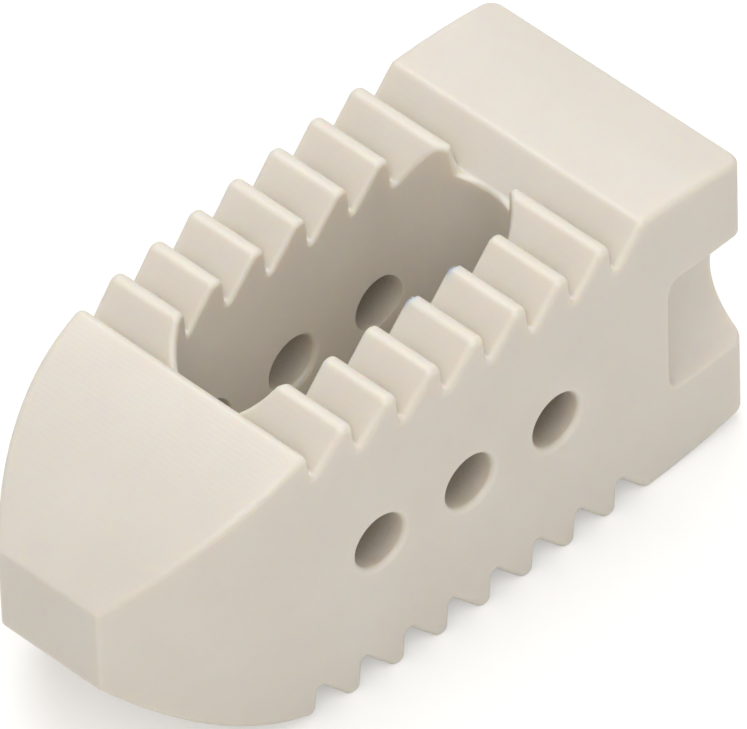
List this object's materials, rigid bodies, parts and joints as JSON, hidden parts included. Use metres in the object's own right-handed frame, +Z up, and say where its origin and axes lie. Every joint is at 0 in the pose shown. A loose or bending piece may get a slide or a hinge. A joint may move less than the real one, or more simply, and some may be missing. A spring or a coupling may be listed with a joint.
{
  "type": "spinal interbody cage",
  "caption": "Toothed box-shaped fusion spacer with a bullet nose, a through graft window, round cross holes, inserter grooves and a threaded rear hole",
  "frame": {"origin": "under the middle of the cage, level with the tips of the lower teeth", "axes": "+X from the bullet nose to the rear face, +Y across the width, +Z up through the graft window"},
  "size_m": [0.022, 0.0094, 0.01],
  "materials": {
    "peek": "satin machined"
  },
  "bodies": {
    "root": {"cage_body": "peek"}
  },
  "joints": []
}
